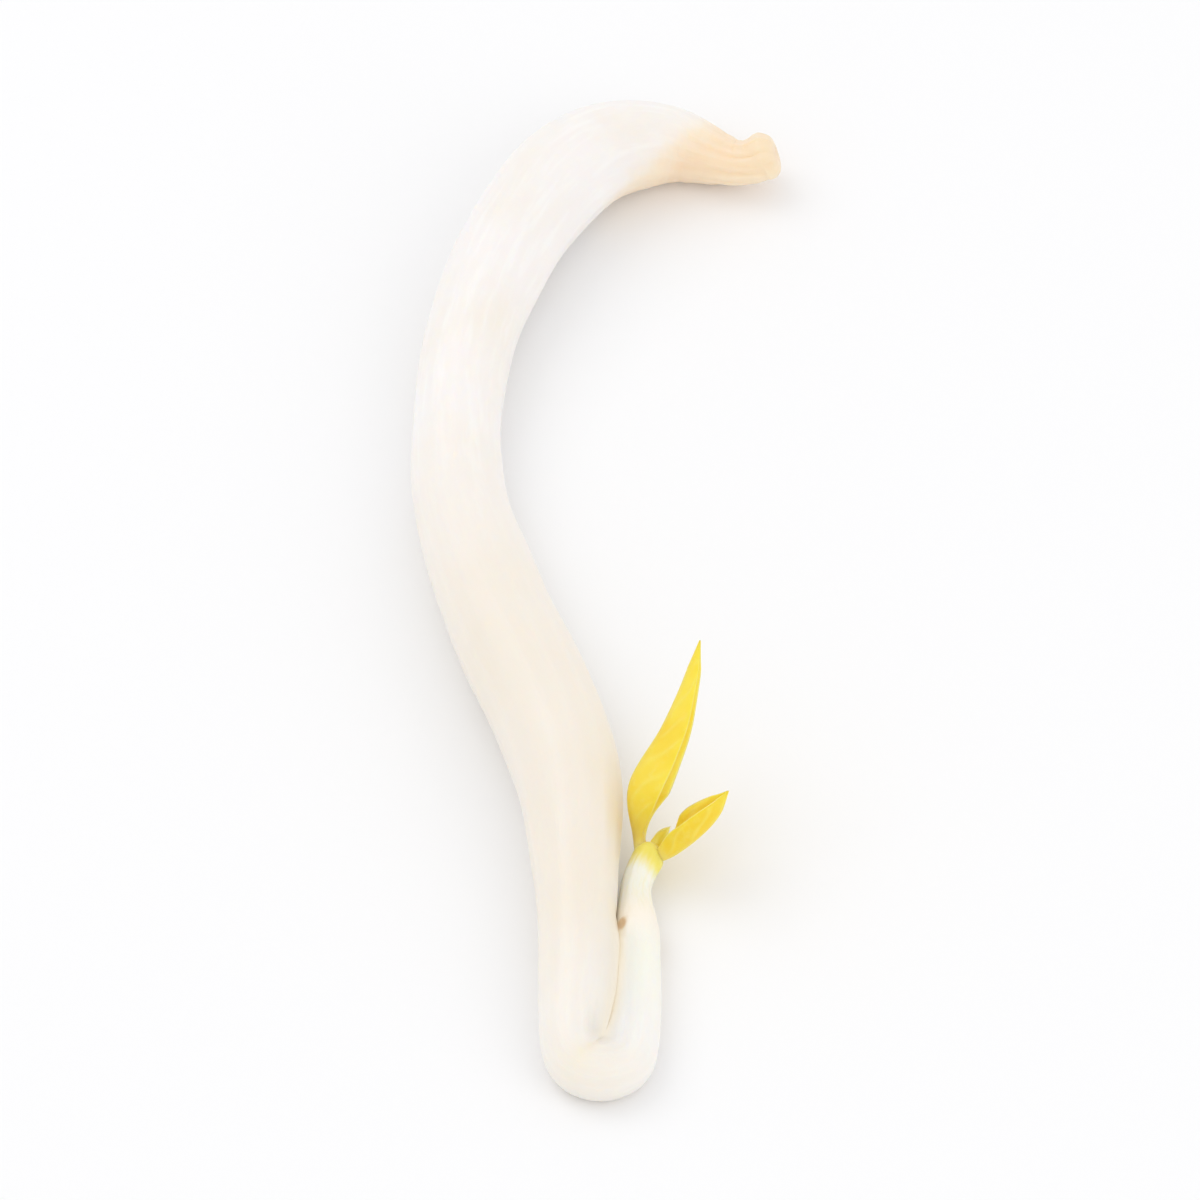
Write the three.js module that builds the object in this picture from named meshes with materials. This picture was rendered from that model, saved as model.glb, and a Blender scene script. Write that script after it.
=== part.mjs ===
// Mung bean sprout, picked and laid on its side on a table.
// Millimetres, +Z up, the table is Z = 0. The root end lies towards +Y, the leaves towards -Y.
import * as THREE from 'three';

// Driving dimensions
const stemSides = 24; // corners round the stem
const spanSteps = 5; // rings from one station to the next
const domeSteps = 4; // rings over the blunt root end
const domeFlatness = 0.75; // length of the root end's dome, in its radii
const budRadius = 0.16;
const budLength = 0.7;
const budLean = 0.2; // towards the small leaf
const budSteps = 5;
const bladeThickness = 0.6; // each half of a folded leaf
const leafSpanSteps = 5; // sections from one keel point to the next
const footReach = 0.46; // from the shoot's centre to a leaf's keel, at its foot
const tipReach = 0.9; // keel points over which a leaf thins out to its tip
const tipThinness = 0.2; // thickness left at the tip, as a share
const middle = { x: 0.3, y: -0.76 }; // the sprout's middle in plan, moved to the origin

// Stations along the grown axis: x, y, how far the underside is off the table, radius.
// Where the underside would dip below the table it is pressed flat, and the sprout rests there.
const axis = [
  [5.7, 17.65, 0.5, 0.79], // blunt root end, turned up a little
  [4.95, 17.56, 0.33, 0.72],
  [4.0, 17.92, 0.03, 0.94],
  [2.75, 18.35, -0.12, 1.24], // rests here
  [1.35, 18.0, -0.02, 1.5],
  [0.1, 17.27, 0.12, 1.63],
  [-1.2, 15.88, 0.2, 1.7],
  [-2.4, 13.75, 0.2, 1.62],
  [-3.55, 10.75, 0.1, 1.52],
  [-4.2, 7.35, -0.05, 1.43],
  [-4.2, 3.65, -0.13, 1.47], // rests here
  [-3.52, 0.1, -0.03, 1.67],
  [-2.5, -3.2, 0.08, 1.76],
  [-1.3, -6.4, 0.15, 1.8], // widest
  [-0.55, -9.5, 0.18, 1.68],
  [-0.4, -12.4, 0.14, 1.37],
  [-0.38, -15.1, 0.06, 1.2],
  [-0.46, -17.6, 0.0, 1.15],
  [-0.54, -19.26, -0.06, 1.0], // the hook starts
  [-0.26, -19.96, -0.12, 0.93],
  [0.44, -20.26, -0.13, 0.88], // rests
  [1.15, -19.96, -0.1, 0.82],
  [1.44, -19.26, -0.04, 0.79], // the hook ends
  [1.54, -17.5, 0.05, 0.76],
  [1.61, -15.8, 0.12, 0.72],
  [1.54, -14.2, 0.22, 0.68], // node that the seed leaves have dropped from
  [1.48, -13.3, 0.34, 0.53],
  [1.6, -12.4, 0.52, 0.49],
  [1.98, -11.6, 0.72, 0.52], // node that the two leaves grow from
];
const seedLeafNode = 25; // station where the stem ends and the shoot above it starts
const leafNode = axis.length - 1;

// The two scars of the dropped seed leaves: station, angle round the stem, height, reach.
const scars = [
  { place: 24.6, angle: 2.4, height: 0.1, reach: 0.4 },
  { place: 24.6, angle: -0.6, height: 0.1, reach: 0.4 },
];

// A leaf is folded along its midrib, which is its keel, and the fold opens towards the other
// leaf. Keel points are x, y, z and the depth from there to the open edges. The shoot's end is
// cut like a roof, and each leaf stands square on its own slope.
const largeLeaf = {
  side: -1,
  slope: 0.52,
  footLength: 0.75,
  footDepths: [0.26, 0.42],
  keel: [
    [1.38, -10.0, 2.75, 1.2],
    [2.4, -8.3, 3.5, 0.88],
    [3.1, -6.9, 4.2, 0.45],
    [3.55, -5.7, 4.8, 0.12],
  ],
  halfAngle: 0.34,
  foldTowards: new THREE.Vector3(0.88, -0.46, -0.12),
};
const smallLeaf = {
  side: 1,
  slope: 0.8,
  footLength: 0.5,
  footDepths: [0.26, 0.42],
  keel: [
    [3.4, -11.6, 2.05, 0.82],
    [4.05, -11.15, 2.55, 0.68],
    [4.48, -10.5, 3.05, 0.12],
  ],
  halfAngle: 0.34,
  foldTowards: new THREE.Vector3(-0.45, 0.46, 0.78),
};

// A smooth curve through rows of numbers, at a place counted in rows.
function through(rows, place) {
  const last = rows.length - 1;
  const span = Math.min(Math.floor(place), last - 1);
  const t = place - span;
  const row = (index) => {
    if (index < 0) return rows[0].map((value, column) => 2 * value - rows[1][column]);
    if (index > last) return rows[last].map((value, column) => 2 * value - rows[last - 1][column]);
    return rows[index];
  };
  const [before, from, to, after] = [row(span - 1), row(span), row(span + 1), row(span + 2)];
  return from.map((value, column) => {
    const leaving = (to[column] - before[column]) / 2;
    const arriving = (after[column] - value) / 2;
    const rise = to[column] - value;
    const bend = 3 * rise - 2 * leaving - arriving;
    return value + leaving * t + bend * t ** 2 + (leaving + arriving - 2 * rise) * t ** 3;
  });
}

// The axis at a place: its centre, radius, direction, and the two directions across it.
function frameAt(place) {
  const centreAt = (where) => {
    const [x, y, lift, radius] = through(axis, where);
    return new THREE.Vector3(x, y, lift + radius);
  };
  const small = 0.01;
  const start = Math.max(place - small, 0);
  const end = Math.min(place + small, leafNode);
  const along = centreAt(end).sub(centreAt(start)).normalize();
  const across = new THREE.Vector3().crossVectors(along, new THREE.Vector3(0, 0, 1)).normalize();
  const upward = new THREE.Vector3().crossVectors(across, along);
  return { centre: centreAt(place), radius: through(axis, place)[3], along, across, upward };
}

// How far a scar stands out of the stem, at a place and an angle round it.
function scarHeight(place, angle) {
  return scars.reduce((sum, scar) => {
    const turn = Math.atan2(Math.sin(angle - scar.angle), Math.cos(angle - scar.angle));
    return sum + scar.height * Math.exp(-(((place - scar.place) / scar.reach) ** 2) - turn ** 2 / scar.reach);
  }, 0);
}

// The angle round the stem of one of its corners. Two corners lie straight above and below the
// line from leaf to leaf, so the ridge between the two slopes runs from corner to corner.
function cornerAngle(corner) {
  return ((corner + 0.5) / stemSides) * 2 * Math.PI - Math.PI / 2;
}
const ridgeAngle = Math.PI / stemSides;

// One ring of corners round the stem, pressed flat where it meets the table.
function stemRing(place, scale = 1, forward = 0) {
  const { centre, radius, along, across, upward } = frameAt(place);
  return Array.from({ length: stemSides }, (_, corner) => {
    const angle = cornerAngle(corner);
    const reach = (radius + scarHeight(place, angle)) * scale;
    const point = centre.clone().addScaledVector(along, forward);
    point.addScaledVector(across, reach * Math.cos(angle)).addScaledVector(upward, reach * Math.sin(angle));
    point.z = Math.max(point.z, 0);
    return point;
  });
}

// A closed solid through rings that all have the same number of corners.
function solidThrough(rings) {
  const count = rings[0].length;
  const middleOf = (ring) => ring.reduce((sum, point) => sum.add(point), new THREE.Vector3()).divideScalar(count);
  const points = [...rings.flat(), middleOf(rings[0]), middleOf(rings.at(-1))];
  const footMiddle = points.length - 2;
  const endMiddle = points.length - 1;
  const lastRing = (rings.length - 1) * count;
  const triangles = [];
  for (let corner = 0; corner < count; corner += 1) {
    const next = (corner + 1) % count;
    for (let start = 0; start < lastRing; start += count) {
      const ahead = start + count;
      triangles.push(start + corner, ahead + corner, ahead + next);
      triangles.push(start + corner, ahead + next, start + next);
    }
    triangles.push(footMiddle, corner, next);
    triangles.push(endMiddle, lastRing + next, lastRing + corner);
  }
  const geometry = new THREE.BufferGeometry();
  geometry.setAttribute('position', new THREE.Float32BufferAttribute(points.flatMap((p) => [p.x, p.y, p.z]), 3));
  geometry.setIndex(triangles);
  geometry.computeVertexNormals();
  return geometry;
}

function piece(name, rings, colour, roughness) {
  const material = new THREE.MeshStandardMaterial({ color: colour, roughness, metalness: 0 });
  const mesh = new THREE.Mesh(solidThrough(rings), material);
  mesh.name = name;
  return mesh;
}

// Places from one station to another, in even steps.
function places(from, to) {
  const count = (to - from) * spanSteps;
  return Array.from({ length: count + 1 }, (_, step) => from + step / spanSteps);
}

// The thick stem grew in one piece with its root: root end, stem, hook and the seed leaves' node.
function stemWithRoot() {
  const rootRadius = axis[0][3];
  const dome = Array.from({ length: domeSteps }, (_, step) => {
    const angle = ((step + 0.5) / domeSteps) * (Math.PI / 2);
    return stemRing(0, Math.sin(angle), -domeFlatness * rootRadius * Math.cos(angle));
  });
  const body = places(0, seedLeafNode).map((place) => stemRing(place));
  return piece('stem_with_root', [...dome, ...body], '#f4f0e8', 0.35);
}

// The shoot's end, and the direction across it from the large leaf to the small one.
const shoot = frameAt(leafNode);
const apart = shoot.across.clone().multiplyScalar(Math.cos(ridgeAngle));
apart.addScaledVector(shoot.upward, Math.sin(ridgeAngle));

// How far a point lies below the ridge when it is on the slope of the leaf on its side.
function dropToSlope(point) {
  const out = point.clone().sub(shoot.centre).dot(apart);
  const { side, slope } = out < 0 ? largeLeaf : smallLeaf;
  return side * out * Math.tan(slope);
}

// A ring of the young shoot, sheared towards the two slopes by a share of their drop.
function shootRing(place, scale, share) {
  return stemRing(place, scale).map((point) =>
    point.addScaledVector(shoot.along, -share * dropToSlope(point)));
}

// The thin young shoot above the seed leaves' node, with its growing tip between the two leaves.
function epicotyl() {
  const length = leafNode - seedLeafNode;
  const shaft = places(seedLeafNode, leafNode).map((place) =>
    shootRing(place, 1, (place - seedLeafNode) / length));
  const budScale = budRadius / shoot.radius;
  const budFoot = shootRing(leafNode, budScale, 1);
  const bud = Array.from({ length: budSteps }, (_, step) => {
    const share = (step + 1) / budSteps;
    const ring = stemRing(leafNode, budScale * (1.02 - share ** 3), share * budLength);
    return ring.map((point) => point.addScaledVector(apart, budLean * share ** 2));
  });
  return piece('epicotyl', [...shaft, budFoot, ...bud], '#f1e5ac', 0.4);
}

// A section of a folded leaf, in the plane of two directions: towards the open edges, and across.
function leafSection(keelPoint, open, across, depth, thickness, halfAngle) {
  const half = thickness / 2;
  const cos = Math.cos(halfAngle);
  const sin = Math.sin(halfAngle);
  const outer = [depth * cos - half * sin, depth * sin + half * cos];
  const inner = [depth * cos + half * sin, Math.max(depth * sin - half * cos, 0.03)];
  const notch = [Math.min(half / sin, inner[0] - 0.04), 0];
  const outline = [
    [-half / 3, 0],
    [0, half * 0.8],
    outer,
    inner,
    notch,
    [inner[0], -inner[1]],
    [outer[0], -outer[1]],
    [0, -half * 0.8],
  ];
  return outline.map(([depthwise, sideways]) =>
    keelPoint.clone().addScaledVector(open, depthwise).addScaledVector(across, sideways));
}

function leaf(name, { side, slope, footLength, footDepths, keel, halfAngle, foldTowards }) {
  const square = shoot.along.clone().multiplyScalar(Math.cos(slope));
  square.addScaledVector(apart, side * Math.sin(slope));
  const footOpen = shoot.along.clone().multiplyScalar(Math.sin(slope));
  footOpen.addScaledVector(apart, -side * Math.cos(slope));
  const foot = shoot.centre.clone().addScaledVector(footOpen, -footReach);
  const ankle = foot.clone().addScaledVector(square, footLength);
  const rows = [[...foot, footDepths[0]], [...ankle, footDepths[1]], ...keel];
  const last = rows.length - 1;
  const pointAt = (place) => new THREE.Vector3(...through(rows, Math.min(Math.max(place, 0), last)));
  const rings = Array.from({ length: last * leafSpanSteps + 1 }, (_, step) => {
    const place = step / leafSpanSteps;
    const along = step === 0 ? square : pointAt(place + 0.02).sub(pointAt(place - 0.02)).normalize();
    const open = footOpen.clone().lerp(foldTowards, Math.min(place / 2, 1));
    open.addScaledVector(along, -open.dot(along)).normalize();
    const across = new THREE.Vector3().crossVectors(along, open);
    const thickness = bladeThickness * Math.min(1, tipThinness + (last - place) / tipReach);
    return leafSection(pointAt(place), open, across, through(rows, place)[3], thickness, halfAngle);
  });
  return piece(name, rings, '#f7d022', 0.45);
}

const sprout = new THREE.Group();
sprout.add(stemWithRoot(), epicotyl(), leaf('leaf_large', largeLeaf), leaf('leaf_small', smallLeaf));
sprout.position.set(-middle.x, -middle.y, 0);

export default sprout;
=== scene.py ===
import math
import bpy
import numpy as np
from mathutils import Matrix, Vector


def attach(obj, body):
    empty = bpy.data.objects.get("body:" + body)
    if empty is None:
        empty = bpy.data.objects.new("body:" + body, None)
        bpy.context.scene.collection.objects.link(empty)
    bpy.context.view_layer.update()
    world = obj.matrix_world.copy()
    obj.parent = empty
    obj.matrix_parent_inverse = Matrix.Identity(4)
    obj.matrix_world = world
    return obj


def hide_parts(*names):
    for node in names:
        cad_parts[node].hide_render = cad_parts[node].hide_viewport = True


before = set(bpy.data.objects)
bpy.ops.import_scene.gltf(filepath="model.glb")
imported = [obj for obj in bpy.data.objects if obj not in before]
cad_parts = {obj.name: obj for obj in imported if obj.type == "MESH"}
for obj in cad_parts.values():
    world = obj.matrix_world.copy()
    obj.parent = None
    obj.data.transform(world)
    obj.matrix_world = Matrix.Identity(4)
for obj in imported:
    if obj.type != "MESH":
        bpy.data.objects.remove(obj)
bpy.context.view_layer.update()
mm = 0.001
print("frame loaded:", len(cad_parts), "nodes")


# ---- camera ----
view = {
    "elevation": 50,  # degrees above the table
    "target": (0.075, 0.17, 0.7),  # mm
    "frameHeight": 38.5,  # mm of the sprout's surroundings that fit in the image
    "lens": 1000,  # mm, so long that near and far look the same size
    "nearest": 0.01,  # share of the camera's distance from which things are drawn
}


def makeCamera():
    # It stands off by the frame's height times the lens over the sensor's width, along its tilt.
    camera = bpy.data.cameras.new("camera")
    camera.lens = view["lens"]
    tilt = math.radians(view["elevation"])
    towardsCamera = Vector((0, -math.cos(tilt), math.sin(tilt)))
    distance = view["frameHeight"] * view["lens"] / camera.sensor_width
    holder = bpy.data.objects.new("camera", camera)
    holder.location = (Vector(view["target"]) + towardsCamera * distance) * mm
    holder.rotation_euler = towardsCamera.to_track_quat("Z", "Y").to_euler()
    camera.clip_start = distance * mm * view["nearest"]
    bpy.context.scene.collection.objects.link(holder)
    bpy.context.scene.camera = holder


makeCamera()
print("camera placed")


# ---- the grown axis that every piece follows ----
sproutMiddle = np.array([0.3, -0.76, 0.0])  # mm, moved to the origin
stations = np.array([  # x, y, height of the underside, radius in mm; below the table it is pressed flat
    (5.7, 17.65, 0.5, 0.79),  # blunt root end
    (4.95, 17.56, 0.33, 0.72),
    (4.0, 17.92, 0.03, 0.94),
    (2.75, 18.35, -0.12, 1.24),  # rests
    (1.35, 18.0, -0.02, 1.5),
    (0.1, 17.27, 0.12, 1.63),
    (-1.2, 15.88, 0.2, 1.7),
    (-2.4, 13.75, 0.2, 1.62),
    (-3.55, 10.75, 0.1, 1.52),
    (-4.2, 7.35, -0.05, 1.43),
    (-4.2, 3.65, -0.13, 1.47),  # rests
    (-3.52, 0.1, -0.03, 1.67),
    (-2.5, -3.2, 0.08, 1.76),
    (-1.3, -6.4, 0.15, 1.8),
    (-0.55, -9.5, 0.18, 1.68),
    (-0.4, -12.4, 0.14, 1.37),
    (-0.38, -15.1, 0.06, 1.2),
    (-0.46, -17.6, 0.0, 1.15),
    (-0.54, -19.26, -0.06, 1.0),  # the hook starts
    (-0.26, -19.96, -0.12, 0.93),
    (0.44, -20.26, -0.13, 0.88),  # rests
    (1.15, -19.96, -0.1, 0.82),
    (1.44, -19.26, -0.04, 0.79),  # the hook ends
    (1.54, -17.5, 0.05, 0.76),
    (1.61, -15.8, 0.12, 0.72),
    (1.54, -14.2, 0.22, 0.68),  # node of the seed leaves
    (1.48, -13.3, 0.34, 0.53),
    (1.6, -12.4, 0.52, 0.49),
    (1.98, -11.6, 0.72, 0.52),  # node of the leaves
])
seedLeafNode = 25.0
leafNode = len(stations) - 1.0
pathSteps = 4000  # short straight steps by which a path's length is measured
axisSmoothing = 0.6  # stations
smoothingShares = {-1: 1 / 16, -0.5: 4 / 16, 0: 6 / 16, 0.5: 4 / 16, 1: 1 / 16}
up = np.array([0.0, 0.0, 1.0])


def unit(vectors):  # vectors scaled to length 1
    return vectors / np.linalg.norm(vectors, axis=-1, keepdims=True)


def through(rows, place):  # a cubic through the rows, with each row's slope taken from its neighbours
    rows = np.vstack([2 * rows[:1] - rows[1:2], rows, 2 * rows[-1:] - rows[-2:-1]])
    span = np.clip(np.floor(place).astype(int), 0, len(rows) - 4)
    way = (place - span)[:, None]
    before, start, end, after = (rows[span + step] for step in range(4))
    leaving, arriving, rise = (end - before) / 2, (after - start) / 2, end - start
    bend = 3 * rise - 2 * leaving - arriving
    return start + leaving * way + bend * way**2 + (leaving + arriving - 2 * rise) * way**3


def axisRow(place):  # the stations' cubic, averaged over a short way before and behind
    reach = np.minimum(axisSmoothing, np.minimum(place, leafNode - place))
    return sum(share * through(stations, place + step * reach) for step, share in smoothingShares.items())


def centreAt(place):  # x and y from the stations, and the height of the underside plus the radius
    row = axisRow(place)
    return np.column_stack([row[:, 0], row[:, 1], row[:, 2] + row[:, 3]])


def frameAt(place):  # centre, radius, and the directions along, across to the right, and upward
    step = 0.01
    ahead = centreAt(np.minimum(place + step, leafNode))
    along = unit(ahead - centreAt(np.maximum(place - step, 0.0)))
    across = unit(np.cross(along, up))
    return centreAt(place), axisRow(place)[:, 3], along, across, np.cross(across, along)


def evenPlaces(pointsAt, start, end, spacing):
    # Places from start to end whose points lie the same length apart on a path, and those lengths.
    fine = np.linspace(start, end, pathSteps)
    steps = np.linalg.norm(np.diff(pointsAt(fine), axis=0), axis=1)
    length = np.concatenate([[0], np.cumsum(steps)])
    even = np.linspace(0, length[-1], int(length[-1] / spacing) + 1)
    return np.interp(even, length, fine), even


def bump(distance, reach):  # 1 in the middle, falling off as a bell over the reach
    return np.exp(-((distance / reach) ** 2))


def rampUp(value, low, high):  # 0 below low, 1 above high, and smooth between
    way = np.clip((value - low) / (high - low), 0, 1)
    return way * way * (3 - 2 * way)


def between(value, start, end):  # 0 before the start's two values, 1 after them, and 0 past the end's
    return rampUp(value, *start) * (1 - rampUp(value, *end))


def turnFrom(angle, middleAngle):  # the angle from a middle angle, between -pi and pi
    return np.arctan2(np.sin(angle - middleAngle), np.cos(angle - middleAngle))


def waves(angle, length, kind):
    # A seeded sum of waves that close round the stem: the cosine of a whole number of turns times
    # the angle plus the length over the pitch.
    draw = np.random.default_rng(kind["seed"])
    total = np.zeros(np.broadcast(angle, length).shape)
    for _ in range(kind["count"]):
        around = draw.integers(kind["turns"][0], kind["turns"][1] + 1)
        lengthwise = 2 * math.pi / draw.uniform(*kind["pitch"]) * draw.choice([-1, 1])
        total += np.cos(around * angle + lengthwise * length + draw.uniform(0, 2 * math.pi))
    return kind["height"] * total / math.sqrt(kind["count"])


def roundAngles(sides):  # a row of angles once round a ring
    return np.arange(sides)[None] / sides * 2 * math.pi


def grainRows(angle, length):  # the place on a round skin of radius 1, for streaks that run along it
    return np.stack(np.broadcast_arrays(np.cos(angle), np.sin(angle), length), -1)


# ---- meshes ----
def makeSkin(name, rings, node, material, attributes, creased=180):
    # A closed skin over rings of points in mm: four-sided faces from ring to ring, and a fan at each end.
    # Edges that turn by more than the creased angle in degrees aren't smoothed over.
    count, sides = rings.shape[:2]
    points = rings.reshape(-1, 3)
    points = np.vstack([points, rings[0].mean(0), rings[-1].mean(0)]) - sproutMiddle
    corner = np.arange(sides)
    following = (corner + 1) % sides
    start = np.arange(count - 1)[:, None] * sides
    quads = np.stack([start + corner, start + sides + corner,
                      start + sides + following, start + following], -1).reshape(-1, 4)
    last = (count - 1) * sides
    foot = np.column_stack([np.full(sides, count * sides), corner, following])
    end = np.column_stack([np.full(sides, count * sides + 1), last + following, last + corner])
    mesh = bpy.data.meshes.new(name)
    mesh.from_pydata((points * mm).tolist(), [], quads.tolist() + foot.tolist() + end.tolist())
    mesh.shade_smooth()
    mesh.set_sharp_from_angle(angle=math.radians(creased))
    for attribute, values in attributes.items():
        spread = np.broadcast_to(values, rings.shape[: values.ndim])
        if values.ndim == 3:
            ends = [spread[0].mean(0), spread[-1].mean(0)]
            layer = mesh.attributes.new(attribute, "FLOAT_VECTOR", "POINT")
            layer.data.foreach_set("vector", np.vstack([spread.reshape(-1, 3), ends]).ravel())
        else:
            ends = [spread[0].mean(), spread[-1].mean()]
            layer = mesh.attributes.new(attribute, "FLOAT", "POINT")
            layer.data.foreach_set("value", np.append(spread.ravel(), ends))
    mesh.materials.append(material)
    skin = bpy.data.objects.new(name, mesh)
    bpy.context.scene.collection.objects.link(skin)
    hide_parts(node)
    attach(skin, "root")
    return skin


# ---- shader maths ----
class Wire:  # a socket in a material; arithmetic on it adds Math nodes
    def __init__(self, paint, socket):
        self.paint = paint
        self.socket = socket

    def maths(self, operation, first, second):
        return self.paint.node("ShaderNodeMath", {"operation": operation}, {0: first, 1: second})

    def __add__(self, other):
        return self.maths("ADD", self, other)

    def __radd__(self, other):
        return self.maths("ADD", other, self)

    def __sub__(self, other):
        return self.maths("SUBTRACT", self, other)

    def __rsub__(self, other):
        return self.maths("SUBTRACT", other, self)

    def __mul__(self, other):
        return self.maths("MULTIPLY", self, other)

    def __rmul__(self, other):
        return self.maths("MULTIPLY", other, self)

    def __pow__(self, other):
        return self.maths("POWER", self, other)


class Paint:  # a material and the nodes that are added to it
    def __init__(self, name):
        self.material = bpy.data.materials.new(name)
        self.material.use_nodes = True
        self.tree = self.material.node_tree
        self.shader = self.tree.nodes["Principled BSDF"]

    def node(self, kind, settings, sockets, output=0):  # any node: its settings first, then its sockets
        made = self.tree.nodes.new(kind)
        for key, value in settings.items():
            setattr(made, key, value)
        for key, value in sockets.items():
            self.feed(made.inputs[key], value)
        return Wire(self, made.outputs[output])

    def feed(self, socket, value):
        if isinstance(value, Wire):
            self.tree.links.new(value.socket, socket)
        else:
            socket.default_value = value

    def attribute(self, name, output="Fac"):
        return self.node("ShaderNodeAttribute", {"attribute_name": name}, {}, output)

    def noise(self, vector, kind):  # kind is the scale and the detail
        scale, detail = kind
        sockets = {"Vector": vector, "Scale": scale, "Detail": detail}
        return self.node("ShaderNodeTexNoise", {}, sockets, "Fac")

    def ramp(self, value, low, high):  # 0 below low, 1 above high, and smooth between
        sockets = {"Value": value, "From Min": low, "From Max": high}
        return self.node("ShaderNodeMapRange", {"interpolation_type": "SMOOTHSTEP"}, sockets)

    def mix(self, share, under, over):  # a colour between two, by a share of the second
        sockets = {0: share, 6: under, 7: over}
        return self.node("ShaderNodeMix", {"data_type": "RGBA"}, sockets, 2)

    def tint(self, under, over, value, fade):  # a colour laid over another where a value ramps up
        low, high, strength = fade
        return self.mix(self.ramp(value, low, high) * strength, under, over)

    def finish(self, colour, roughness, relief, reliefHeight, constants, opaque=None):
        # Where opaque is 1 the same shader is used without light going through the flesh.
        heights = {"Height": relief, "Distance": reliefHeight * mm, "Strength": 1.0}
        bumps = self.node("ShaderNodeBump", {}, heights)
        sockets = {"Base Color": colour, "Roughness": roughness, "Normal": bumps, **constants}
        for key, value in sockets.items():
            self.feed(self.shader.inputs[key], value)
        if opaque is not None:
            translucent = Wire(self, self.shader.outputs[0])
            plain = self.node("ShaderNodeBsdfPrincipled", {}, {**sockets, "Subsurface Weight": 0.0})
            blend = self.node("ShaderNodeMixShader", {}, {0: opaque, 1: translucent, 2: plain})
            self.feed(self.tree.nodes["Material Output"].inputs["Surface"], blend)
        return self.material


def tone(red, green, blue):  # a colour as seen on a screen, from 0 to 255, for a shader
    share = np.array([red, green, blue]) / 255
    linear = np.where(share <= 0.04045, share / 12.92, ((share + 0.055) / 1.055) ** 2.4)
    return (*linear.tolist(), 1.0)


jointReach = 0.8  # mm on either side of the seed leaves' node in which the flesh lets no light through
fleshConstants = {  # of the stem and the shoot
    "Subsurface Weight": 0.85,
    "Subsurface Radius": (1.0, 0.85, 0.65),
    "Subsurface Scale": 1.1 * mm,
    "IOR": 1.4,
    "Coat Weight": 0.25,
    "Coat Roughness": 0.34,
}


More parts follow.
